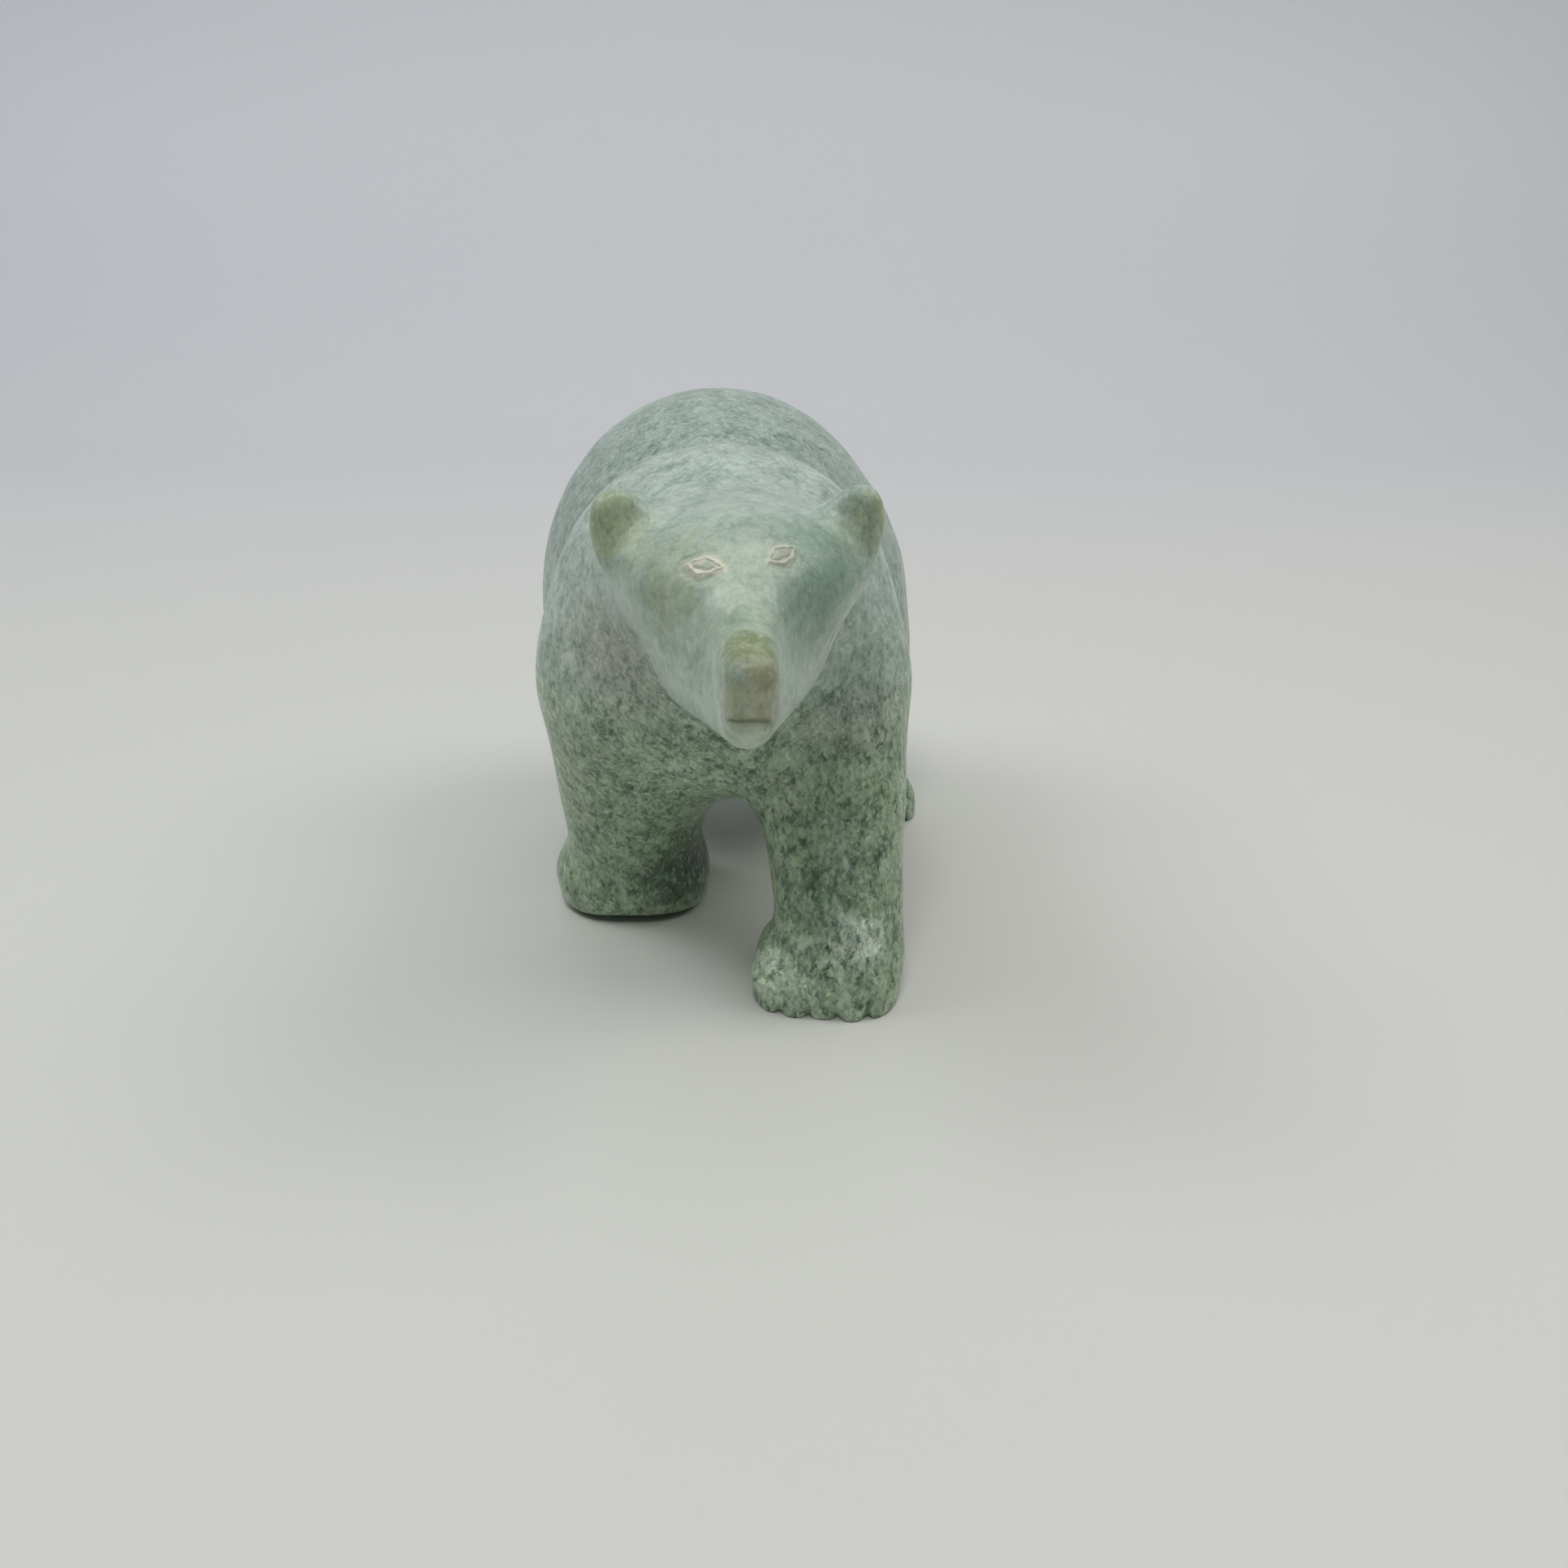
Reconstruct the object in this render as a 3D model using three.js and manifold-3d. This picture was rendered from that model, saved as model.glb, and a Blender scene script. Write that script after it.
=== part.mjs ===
// A walking bear carved from one block of soapstone: one solid that stands on its four soles.
// The bear faces -Y with +Z up. Its box is centred on X and Y, and the soles lie on z = 0.
import * as THREE from 'three';
import { mergeVertices } from 'three/addons/utils/BufferGeometryUtils.js';
import Module from 'manifold-3d';

const wasm = await Module();
wasm.setup();

// Driving sizes in millimetres
const LENGTH = 161.5; // nose to tail
const BODY_FACET = 4.4; // width of a facet on the body and legs
const HEAD_FACET = 1.95; // width of a facet on the head
const TOE_NOTCH_RADIUS = 1.15; // at the sole
const TOE_NOTCH_HEIGHT = 3.2;
const EYE_LENGTH = 4.6;
const EYE_OPENING = 2.3;
const EYE_LINE = 0.55; // width of the line cut around the eye
const CUT_DEPTH = 0.45; // of the eye lines below the skin
const MOUTH_LENGTH = 5.4;
const MOUTH_GAP = 0.8;
const MOUTH_DEPTH = 0.9;
const NOSTRIL_RADIUS = 0.6;
const STONE = { color: 0x9fb3a4, roughness: 0.35, metalness: 0.0 };

// The form keeps its proportions: places, radii and blends below are hundredths of the bear's length
const hundredth = LENGTH / 100;
const sized = (values) => values.map((value) => value * hundredth);

const rump = { at: [-1.98, 23.99, 32.98], radii: [21.24, 25.08, 23.0] };
const barrel = { at: [-1.55, 5.42, 32.8], radii: [14.86, 23.53, 17.7] };
const shoulders = { at: [-1.61, -8.2, 39.63], radii: [17.21, 14.24, 15.11] };
const nape = { at: [-1.3, -17.49, 45.2], radii: [10.9, 14.24, 8.3] };
const tail = { at: [-2.17, 47.6, 37.15], radii: [2.6, 2.11, 3.72] };
const BELLY_LEVEL = 14.4; // the underside of rump and barrel is cut flat here

// The head turns a little to the bear's left about a pivot in the nape; its parts are placed from there
const headPivot = { at: [-0.8, -23.07, 44.58], yaw: 3.4, roll: -1.5 };
const skull = { at: [0.37, -4.95, 2.17], radii: [10.95, 10.53, 6.69] };
const jaw = { from: [0, -7.43, -3.9], to: [-0.45, -23.22, -5.45], radii: [6.63, 1.73], breadth: 1.14 };
const bridge = { from: [0, -7.43, 1.36], to: [-0.2, -23.9, -0.3], radii: [4.95, 1.86] };
const muzzle = { at: [-0.2, -23.8, -2.0], half: [2.05, 3.0, 3.1], edge: 1.35 };
const ears = [
  { at: [-9.5, -3.47, 6.1], radii: [3.03, 1.86, 4.58], yaw: 25, roll: -22 },
  { at: [10.45, -4.46, 5.5], radii: [2.91, 1.86, 4.83], yaw: -30, roll: 24 },
];
const earDish = { at: [0, -5.15, 0.4], radii: [7, 4, 8] };

// Legs run from the body down to the ankle; each paw is a rounded slab with its own turn in plan
const legs = [
  {
    from: [8.92, -10.68, 29.72], to: [10.1, -18.36, 8.05], radii: [8.54, 6.5], join: 7.43,
    paw: { at: [8.8, -18.46], half: [7.6, 7.68], top: 5.7, corner: 4.95, yaw: -11.45, drop: 1.36, blend: 4.33 },
    notches: true,
  },
  {
    from: [-11.58, -6.97, 29.72], to: [-12.19, 1.77, 7.43], radii: [9.29, 7.36], join: 7.43,
    paw: { at: [-12.67, 5.2], half: [8.35, 7.93], top: 5.7, corner: 6.19, yaw: 0, drop: 0, blend: 6 },
    wornSole: { rise: 1.15, heel: 0.35, blend: 0.9 },
    notches: false,
  },
  {
    from: [12.69, 28.95, 19.81], to: [14.55, 33.9, 6.81], radii: [7.74, 5.88], join: 6.81,
    paw: { at: [15.73, 30.19], half: [7.55, 8.36], top: 5.26, corner: 6.19, yaw: 8, drop: 1.24, blend: 4.33 },
    thigh: { at: [13.0, 27.71, 25.39], radii: [7.62, 12.38, 14.86] },
    notches: true,
  },
  {
    from: [-13.93, 27.71, 19.81], to: [-14.24, 32.04, 6.81], radii: [7.74, 5.88], join: 6.81,
    paw: { at: [-14.24, 27.4], half: [7.43, 8.36], top: 5.26, corner: 6.19, yaw: -4, drop: 1.24, blend: 4.33 },
    thigh: { at: [-13.11, 26.47, 25.39], radii: [7.4, 12.38, 14.86] },
    notches: true,
  },
];
const PAW_EDGE = 2.79; // rounding of a paw's edges
const PAW_UNDER = 3.72; // how far a paw runs on below the ground before it is cut flat

// Blends between neighbours
const blends = {
  barrel: 8.67, shoulders: 6.81, nape: 6.19, head: 3.1, tail: 3.1, thigh: 7.43, belly: 6.19,
  jaw: 3.72, bridge: 3.72, muzzle: 2.0, ear: 3.4, dish: 0.9,
};

// A field gives a point's distance from a shape, below zero inside it
function ellipsoid({ at, radii }) {
  const [cx, cy, cz] = sized(at);
  const [rx, ry, rz] = sized(radii);
  return (x, y, z) => {
    const u = (x - cx) / rx;
    const v = (y - cy) / ry;
    const w = (z - cz) / rz;
    const reach = Math.hypot(u, v, w);
    const slope = Math.max(Math.hypot(u / rx, v / ry, w / rz), 1e-9);
    return (reach * (reach - 1)) / slope;
  };
}

// A rod with round ends that tapers from its first radius to its second; breadth widens it along X
function taper({ from, to, radii, breadth = 1 }) {
  const start = new THREE.Vector3(...sized(from));
  const axis = new THREE.Vector3(...sized(to)).sub(start);
  const length = axis.length();
  axis.normalize();
  const [startRadius, endRadius] = sized(radii);
  const sine = (startRadius - endRadius) / length;
  const cosine = Math.sqrt(1 - sine * sine);
  const offset = new THREE.Vector3();
  return (x, y, z) => {
    offset.set(x / breadth, y, z).sub(start);
    const along = offset.dot(axis);
    const away = Math.sqrt(Math.max(offset.lengthSq() - along * along, 0));
    const side = along * cosine - away * sine;
    if (side < 0) return Math.hypot(away, along) - startRadius;
    if (side > length * cosine) return Math.hypot(away, along - length) - endRadius;
    return away * cosine + along * sine - startRadius;
  };
}

// A box with rounded edges
function block({ at, half, edge }) {
  const [cx, cy, cz] = sized(at);
  const round = edge * hundredth;
  const [halfX, halfY, halfZ] = sized(half).map((value) => value - round);
  return (x, y, z) => {
    const u = Math.abs(x - cx) - halfX;
    const v = Math.abs(y - cy) - halfY;
    const w = Math.abs(z - cz) - halfZ;
    return Math.hypot(Math.max(u, 0), Math.max(v, 0), Math.max(w, 0)) + Math.min(Math.max(u, v, w), 0) - round;
  };
}

// A paw: drop lowers its top towards the toes
function slab({ at, half, top, corner, yaw, drop }) {
  const [cx, cy] = sized(at);
  const [halfWidth, halfLength] = sized(half);
  const [height, depth, cornerRadius, edge, toeDrop] = sized([top, PAW_UNDER, corner, PAW_EDGE, drop]);
  const turn = THREE.MathUtils.degToRad(yaw);
  return (x, y, z) => {
    const across = Math.cos(turn) * (x - cx) + Math.sin(turn) * (y - cy);
    const along = Math.cos(turn) * (y - cy) - Math.sin(turn) * (x - cx);
    const u = Math.abs(across) - halfWidth + cornerRadius;
    const v = Math.abs(along) - halfLength + cornerRadius;
    const wall = Math.hypot(Math.max(u, 0), Math.max(v, 0)) + Math.min(Math.max(u, v), 0) - cornerRadius + edge;
    const upper = height - toeDrop * THREE.MathUtils.clamp(-along / halfLength, 0, 1);
    const level = Math.abs(z - (upper - depth) / 2) - (upper + depth) / 2 + edge;
    return Math.hypot(Math.max(wall, 0), Math.max(level, 0)) + Math.min(Math.max(wall, level), 0) - edge;
  };
}

// The smooth union of two fields, and the smooth cut of the second from the first
function join(first, second, blend) {
  const width = blend * hundredth;
  return (x, y, z) => {
    const a = first(x, y, z);
    const b = second(x, y, z);
    const overlap = Math.max(width - Math.abs(a - b), 0) / width;
    return Math.min(a, b) - (overlap * overlap * width) / 4;
  };
}

function cut(first, second, blend) {
  const outside = (x, y, z) => -first(x, y, z);
  const joined = join(outside, second, blend);
  return (x, y, z) => -joined(x, y, z);
}

// A field of its own frame, turned by yaw about Z and roll about Y and moved to its place
function placed(field, { at, yaw, roll }) {
  const turn = new THREE.Matrix4().makeRotationZ(THREE.MathUtils.degToRad(yaw));
  turn.multiply(new THREE.Matrix4().makeRotationY(THREE.MathUtils.degToRad(roll)));
  const inverse = turn.setPosition(...sized(at)).invert();
  const point = new THREE.Vector3();
  return (x, y, z) => {
    point.set(x, y, z).applyMatrix4(inverse);
    return field(point.x, point.y, point.z);
  };
}

// An upright ear: a lobe filed to a shallow dish in front
function ear(shape) {
  const lobe = ellipsoid({ at: [0, 0, 0], radii: shape.radii });
  return placed(cut(lobe, ellipsoid(earDish), blends.dish), shape);
}

function head() {
  let form = join(ellipsoid(skull), taper(jaw), blends.jaw);
  form = join(form, taper(bridge), blends.bridge);
  form = join(form, block(muzzle), blends.muzzle);
  for (const shape of ears) form = join(form, ear(shape), blends.ear);
  return placed(form, headPivot);
}

// A worn sole rises in a slant from the heel to the toe end
function leg({ from, to, radii, paw, thigh, wornSole }) {
  let form = join(taper({ from, to, radii }), slab(paw), paw.blend);
  if (thigh) form = join(form, ellipsoid(thigh), blends.thigh);
  if (!wornSole) return form;
  const [middle, halfLength, rise, heel] = sized([paw.at[1], paw.half[1], wornSole.rise, wornSole.heel]);
  const underSole = (x, y, z) => z - (rise * (middle - y)) / halfLength + heel;
  return cut(form, underSole, wornSole.blend);
}

function bear() {
  const underBelly = (x, y, z) => z - BELLY_LEVEL * hundredth;
  let form = cut(join(ellipsoid(rump), ellipsoid(barrel), blends.barrel), underBelly, blends.belly);
  form = join(form, ellipsoid(shoulders), blends.shoulders);
  form = join(form, ellipsoid(nape), blends.nape);
  form = join(form, head(), blends.head);
  form = join(form, ellipsoid(tail), blends.tail);
  for (const shape of legs) form = join(form, leg(shape), shape.join);
  return form;
}

// Moves a point along a field's slope until it lies on the surface, and returns the outward normal there
const SLOPE_STEP = 0.01;
const SETTLE_ROUNDS = 3;

function slopeAt(field, point) {
  const { x, y, z } = point;
  const slope = new THREE.Vector3(
    field(x + SLOPE_STEP, y, z) - field(x - SLOPE_STEP, y, z),
    field(x, y + SLOPE_STEP, z) - field(x, y - SLOPE_STEP, z),
    field(x, y, z + SLOPE_STEP) - field(x, y, z - SLOPE_STEP),
  );
  return slope.divideScalar(2 * SLOPE_STEP);
}

function settle(field, point) {
  for (let round = 0; round < SETTLE_ROUNDS; round += 1) {
    const slope = slopeAt(field, point);
    const distance = field(point.x, point.y, point.z);
    point.addScaledVector(slope, -distance / Math.max(slope.lengthSq(), 0.05));
  }
  return slopeAt(field, point).normalize();
}

// Where stone meets itself only across the diagonal of a grid square, the thinner of the two empty corners is
// filled, because the surface would pinch to a point there
function fillDiagonals(values, stride) {
  let pinched = true;
  while (pinched) {
    pinched = false;
    for (let place = 0; place < values.length; place += 1) {
      for (const [u, v] of [[stride[0], stride[1]], [stride[1], stride[2]], [stride[0], stride[2]]]) {
        if (place + u + v >= values.length) continue;
        const square = [place, place + u, place + u + v, place + v];
        const [a, b, c, d] = square.map((corner) => values[corner] < 0);
        if (a !== c || b !== d || a === b) continue;
        const empty = square.filter((corner) => values[corner] >= 0);
        const thinner = values[empty[0]] < values[empty[1]] ? empty[0] : empty[1];
        values[thinner] = -1e-3;
        pinched = true;
      }
    }
  }
}

// The closed surface of a field in a box of square cells: one vertex in each cell that the surface
// crosses, moved to the middle of its neighbours and back onto the surface so that the facets are even
const SMOOTH_ROUNDS = 2;

function surface(field, low, high, facet) {
  const inBox = (x, y, z) => Math.max(
    field(x, y, z), low[0] - x, x - high[0], low[1] - y, y - high[1], low[2] - z, z - high[2],
  );
  const start = low.map((value) => value - facet);
  const count = low.map((value, axis) => Math.ceil((high[axis] - value) / facet) + 3);
  const stride = [1, count[0], count[0] * count[1]];
  const values = new Float64Array(count[0] * count[1] * count[2]);
  for (let k = 0; k < count[2]; k += 1) {
    for (let j = 0; j < count[1]; j += 1) {
      for (let i = 0; i < count[0]; i += 1) {
        const place = i * stride[0] + j * stride[1] + k * stride[2];
        values[place] = inBox(start[0] + i * facet, start[1] + j * facet, start[2] + k * facet);
      }
    }
  }
  fillDiagonals(values, stride);
  const points = new Map();
  const quads = [];
  // The vertex of a cell starts at the mean of the places where the surface crosses the cell's edges
  const vertexOf = (cell) => {
    if (points.has(cell)) return cell;
    const corner = [cell % count[0], Math.floor(cell / stride[1]) % count[1], Math.floor(cell / stride[2])];
    const sum = new THREE.Vector3();
    let crossings = 0;
    for (let axis = 0; axis < 3; axis += 1) {
      const [second, third] = [(axis + 1) % 3, (axis + 2) % 3];
      for (const [a, b] of [[0, 0], [0, 1], [1, 0], [1, 1]]) {
        const near = cell + a * stride[second] + b * stride[third];
        const far = near + stride[axis];
        if (values[near] < 0 === values[far] < 0) continue;
        const place = [0, 0, 0];
        place[axis] = values[near] / (values[near] - values[far]);
        place[second] = a;
        place[third] = b;
        sum.add(new THREE.Vector3(...place));
        crossings += 1;
      }
    }
    sum.divideScalar(crossings).add(new THREE.Vector3(...corner)).multiplyScalar(facet);
    points.set(cell, sum.add(new THREE.Vector3(...start)));
    return cell;
  };
  for (let cell = 0; cell < values.length; cell += 1) {
    for (let axis = 0; axis < 3; axis += 1) {
      const far = cell + stride[axis];
      if (far >= values.length || values[cell] < 0 === values[far] < 0) continue;
      const [second, third] = [stride[(axis + 1) % 3], stride[(axis + 2) % 3]];
      const ring = [cell - second - third, cell - third, cell, cell - second].map(vertexOf);
      quads.push(values[cell] < 0 ? ring : ring.reverse());
    }
  }
  for (let round = 0; round < SMOOTH_ROUNDS; round += 1) {
    const sums = new Map([...points.keys()].map((cell) => [cell, [new THREE.Vector3(), 0]]));
    for (const quad of quads) {
      quad.forEach((cell, corner) => {
        const entry = sums.get(cell);
        entry[0].add(points.get(quad[(corner + 1) % 4])).add(points.get(quad[(corner + 3) % 4]));
        entry[1] += 2;
      });
    }
    for (const [cell, [sum, uses]] of sums) points.get(cell).copy(sum.divideScalar(uses));
    for (const point of points.values()) settle(inBox, point);
  }
  const order = new Map([...points.keys()].map((cell, index) => [cell, index]));
  const index = [];
  for (const [a, b, c, d] of quads) {
    const [pa, pb, pc, pd] = [a, b, c, d].map((cell) => points.get(cell));
    const shortAC = pa.distanceTo(pc) < pb.distanceTo(pd);
    const corners = shortAC ? [a, b, c, a, c, d] : [a, b, d, b, c, d];
    index.push(...corners.map((cell) => order.get(cell)));
  }
  const geometry = new THREE.BufferGeometry();
  const positions = [...points.values()].flatMap((point) => point.toArray());
  geometry.setAttribute('position', new THREE.Float32BufferAttribute(positions, 3));
  geometry.setIndex(index);
  return geometry;
}

// A solid that can be joined and cut, from a closed geometry
function solidOf(geometry) {
  const bare = geometry.clone();
  bare.deleteAttribute('normal');
  bare.deleteAttribute('uv');
  const merged = mergeVertices(bare, 1e-4);
  const vertProperties = Float32Array.from(merged.attributes.position.array);
  const triVerts = Uint32Array.from(merged.index.array);
  return new wasm.Manifold(new wasm.Mesh({ numProp: 3, vertProperties, triVerts }));
}

// A cutter's frame on the skin: its Z points out of the stone and its X runs along the line to cut
function seat(field, start, along) {
  const point = new THREE.Vector3(...sized(start));
  const out = settle(field, point);
  const right = new THREE.Vector3(...along).addScaledVector(out, -out.dot(new THREE.Vector3(...along))).normalize();
  const up = new THREE.Vector3().crossVectors(out, right);
  return new THREE.Matrix4().makeBasis(right, up, out).setPosition(point);
}

// Eyes: an almond line around each eyeball. Each starts beside its eye and its X runs to the outer corner
const eyes = [
  { start: [-3.09, -37.07, 50.17], along: [-4.4, 2.1, -0.15] },
  { start: [3.38, -35.98, 50.8], along: [3.9, 3.94, 1.1] },
];

function almond(path, length, opening) {
  path.moveTo(-length / 2, 0);
  path.quadraticCurveTo(0, opening, length / 2, 0);
  path.quadraticCurveTo(0, -opening, -length / 2, 0);
  return path;
}

// The inner almond runs the other way round, as a hole's outline does
function eyeCutter() {
  const outline = almond(new THREE.Shape(), EYE_LENGTH, EYE_OPENING);
  outline.holes.push(almond(new THREE.Path(), EYE_LENGTH - 3 * EYE_LINE, 2 * EYE_LINE - EYE_OPENING));
  const cutter = new THREE.ExtrudeGeometry(outline, { depth: 2, bevelEnabled: false, curveSegments: 7 });
  return cutter.translate(0, 0, -CUT_DEPTH);
}

// Mouth: a level slit across the front of the muzzle
const mouthStart = [0.3, -49.4, 40.9];

function mouthCutter() {
  const reach = 2 * MOUTH_DEPTH;
  return new THREE.BoxGeometry(MOUTH_LENGTH, MOUTH_GAP, 2 * reach).translate(0, 0, reach - MOUTH_DEPTH);
}

// Nostrils: two round pits high in the front of the muzzle
const nostrils = [[-0.7, -49.8, 43.8], [1.4, -49.8, 43.8]];

// Toes: notches between them, widest at the sole, standing along a paw's front edge
const TOE_COUNT = 5;
const TOE_WIDTH = 0.196; // of the paw's width
const TOE_SHIFT = 0.55; // of all the notches to the bear's left, in hundredths
const NOTCH_LEAN = 0.12; // back over the toes where the paw's top drops, in radians

function toeNotches({ at, half, corner, yaw, drop }) {
  const [halfWidth, halfLength] = sized(half);
  const [cornerRadius, shift] = sized([corner, TOE_SHIFT]);
  const pitch = 2 * halfWidth * TOE_WIDTH;
  const notches = [];
  for (let gap = 1; gap < TOE_COUNT; gap += 1) {
    const across = (gap - TOE_COUNT / 2) * pitch + shift;
    const past = Math.max(Math.abs(across) - halfWidth + cornerRadius, 0);
    const front = -(halfLength - cornerRadius + Math.sqrt(cornerRadius ** 2 - past ** 2));
    const notch = new THREE.ConeGeometry(TOE_NOTCH_RADIUS, TOE_NOTCH_HEIGHT + 1, 10);
    notch.rotateX(Math.PI / 2).rotateX(drop > 0 ? -NOTCH_LEAN : 0);
    notch.translate(across, front, (TOE_NOTCH_HEIGHT - 1) / 2);
    notch.rotateZ(THREE.MathUtils.degToRad(yaw)).translate(at[0] * hundredth, at[1] * hundredth, 0);
    notches.push(notch);
  }
  return notches;
}

// The stone: the body ends where the finer head begins, with an overlap behind the ears
const form = bear();
const WORKING_REACH = 60; // from the middle to the sides of the working box, in hundredths as the seams below
const SEAM = { bodyFront: -23.8, headBack: -21.4, headLow: 21, bodyHigh: 24, top: 62 };
const [reach, bodyFront, headBack, headLow, bodyHigh, top] = sized([
  WORKING_REACH, SEAM.bodyFront, SEAM.headBack, SEAM.headLow, SEAM.bodyHigh, SEAM.top,
]);
const body = (x, y, z) => Math.max(form(x, y, z), Math.min(bodyFront - y, z - bodyHigh));
const bodySolid = solidOf(surface(body, [-reach / 2, -reach, -2 * BODY_FACET], [reach / 2, reach, top], BODY_FACET));
const headSolid = solidOf(surface(form, [-reach / 2, -reach, headLow], [reach / 2, headBack, top], HEAD_FACET));
let stone = bodySolid.add(headSolid);

for (const { start, along } of eyes) {
  stone = stone.subtract(solidOf(eyeCutter().applyMatrix4(seat(form, start, along))));
}
stone = stone.subtract(solidOf(mouthCutter().applyMatrix4(seat(form, mouthStart, [1, 0, 0]))));
for (const start of nostrils) {
  const pit = new THREE.SphereGeometry(NOSTRIL_RADIUS, 10, 8).applyMatrix4(seat(form, start, [1, 0, 0]));
  stone = stone.subtract(solidOf(pit));
}
for (const { paw, notches } of legs) {
  if (!notches) continue;
  for (const notch of toeNotches(paw)) stone = stone.subtract(solidOf(notch));
}

// Soles: everything under z = 0 is cut off flat
const ground = new THREE.BoxGeometry(4 * reach, 4 * reach, reach).translate(0, 0, -reach / 2);
stone = stone.subtract(solidOf(ground));

const carved = stone.getMesh();
const geometry = new THREE.BufferGeometry();
geometry.setAttribute('position', new THREE.Float32BufferAttribute(carved.vertProperties, 3));
geometry.setIndex([...carved.triVerts]);
geometry.computeBoundingBox();
const middle = geometry.boundingBox.getCenter(new THREE.Vector3());
geometry.translate(-middle.x, -middle.y, 0);

const carving = new THREE.Mesh(geometry, new THREE.MeshStandardMaterial(STONE));
carving.name = 'bear';
const figure = new THREE.Group();
figure.add(carving);

export default figure;
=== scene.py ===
import bmesh
import bpy
import numpy as np
from mathutils import Matrix, Vector


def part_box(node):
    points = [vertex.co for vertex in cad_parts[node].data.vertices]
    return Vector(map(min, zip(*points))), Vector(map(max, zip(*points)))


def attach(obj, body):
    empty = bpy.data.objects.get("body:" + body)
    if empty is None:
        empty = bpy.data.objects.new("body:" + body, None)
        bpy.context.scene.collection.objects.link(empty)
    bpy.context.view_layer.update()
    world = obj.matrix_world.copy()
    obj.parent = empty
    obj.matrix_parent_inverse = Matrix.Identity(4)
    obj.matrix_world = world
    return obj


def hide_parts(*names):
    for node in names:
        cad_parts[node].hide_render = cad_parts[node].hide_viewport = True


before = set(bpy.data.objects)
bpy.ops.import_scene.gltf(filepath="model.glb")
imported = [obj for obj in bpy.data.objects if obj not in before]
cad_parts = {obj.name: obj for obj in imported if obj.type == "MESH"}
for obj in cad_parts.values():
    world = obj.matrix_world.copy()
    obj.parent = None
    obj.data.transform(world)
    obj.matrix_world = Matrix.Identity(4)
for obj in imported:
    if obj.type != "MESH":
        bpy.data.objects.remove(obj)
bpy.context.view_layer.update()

# The bear's rough form: a walking bear sawn and rasped out of one block of soapstone.
# It is one piece of stone from nose to tail, with nothing joined on. Sizes are hundredths
# of its length, and each form is a distance field, below zero inside the stone.
low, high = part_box("bear")
FORM_LENGTH = 99.99
HUNDREDTH = (high.y - low.y) / FORM_LENGTH


def ellipsoid(at, radii):
    at, radii = np.array(at), np.array(radii)

    def field(points):
        offset = (points - at) / radii
        reach = np.sqrt((offset**2).sum(1))
        slope = np.sqrt(((offset / radii) ** 2).sum(1))
        return reach * (reach - 1) / np.maximum(slope, 1e-9)

    return field


def join(first, second, blend):
    def field(points):
        a, b = first(points), second(points)
        overlap = np.maximum(blend - np.abs(a - b), 0) / blend
        return np.minimum(a, b) - overlap**2 * blend / 4

    return field


def cut(first, second, blend):
    joined = join(lambda points: -first(points), second, blend)
    return lambda points: -joined(points)


RUMP_BLEND, BELLY_BLEND, SHOULDER_BLEND, NAPE_BLEND = 8.67, 6.19, 6.81, 6.19
BELLY_LEVEL = 14.4
rump = ellipsoid((-1.98, 23.99, 32.98), (21.24, 25.08, 23.0))
barrel = ellipsoid((-1.55, 5.42, 32.8), (14.86, 23.53, 17.7))
shoulders = ellipsoid((-1.61, -8.2, 39.63), (17.21, 14.24, 15.11))
nape = ellipsoid((-1.3, -17.49, 45.2), (10.9, 14.24, 8.3))
trunk = join(rump, barrel, RUMP_BLEND)
trunk = cut(trunk, lambda points: points[:, 2] - BELLY_LEVEL, BELLY_BLEND)
trunk = join(trunk, shoulders, SHOULDER_BLEND)
trunk = join(trunk, nape, NAPE_BLEND)

# The head: a wedge with a flat broad brow, a round bridge and a short blunt muzzle, carved
# from the same block and turned a little to the bear's left. The ears are small upright
# lobes, dished in front with a round file.
HEAD_PIVOT, HEAD_YAW, HEAD_ROLL = (-0.8, -23.07, 44.58), 3.4, -1.5
EARS = (
    {"at": (-9.5, -3.47, 6.1), "radii": (3.03, 1.86, 4.58), "yaw": 25, "roll": -22},
    {"at": (10.45, -4.46, 5.5), "radii": (2.91, 1.86, 4.83), "yaw": -30, "roll": 24},
)


def taper(start, end, radii, breadth=1.0):
    start = np.array(start)
    axis = np.array(end) - start
    length = np.linalg.norm(axis)
    axis = axis / length
    sine = (radii[0] - radii[1]) / length
    cosine = np.sqrt(1 - sine**2)

    def field(points):
        offset = points / (breadth, 1, 1) - start
        along = offset @ axis
        away = np.sqrt(np.maximum((offset**2).sum(1) - along**2, 0))
        side = along * cosine - away * sine
        distance = away * cosine + along * sine - radii[0]
        distance = np.where(side < 0, np.hypot(away, along) - radii[0], distance)
        past = side > length * cosine
        return np.where(past, np.hypot(away, along - length) - radii[1], distance)

    return field


def block(at, half, edge):
    at, inner = np.array(at), np.array(half) - edge

    def field(points):
        offset = np.abs(points - at) - inner
        outside = np.sqrt((np.maximum(offset, 0) ** 2).sum(1))
        return outside + np.minimum(offset.max(1), 0) - edge

    return field


def placed(field, at, yaw, roll):
    turn = Matrix.Rotation(np.radians(yaw), 3, "Z") @ Matrix.Rotation(np.radians(roll), 3, "Y")
    turn = np.array(turn)
    return lambda points: field((points - at) @ turn)


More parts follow.
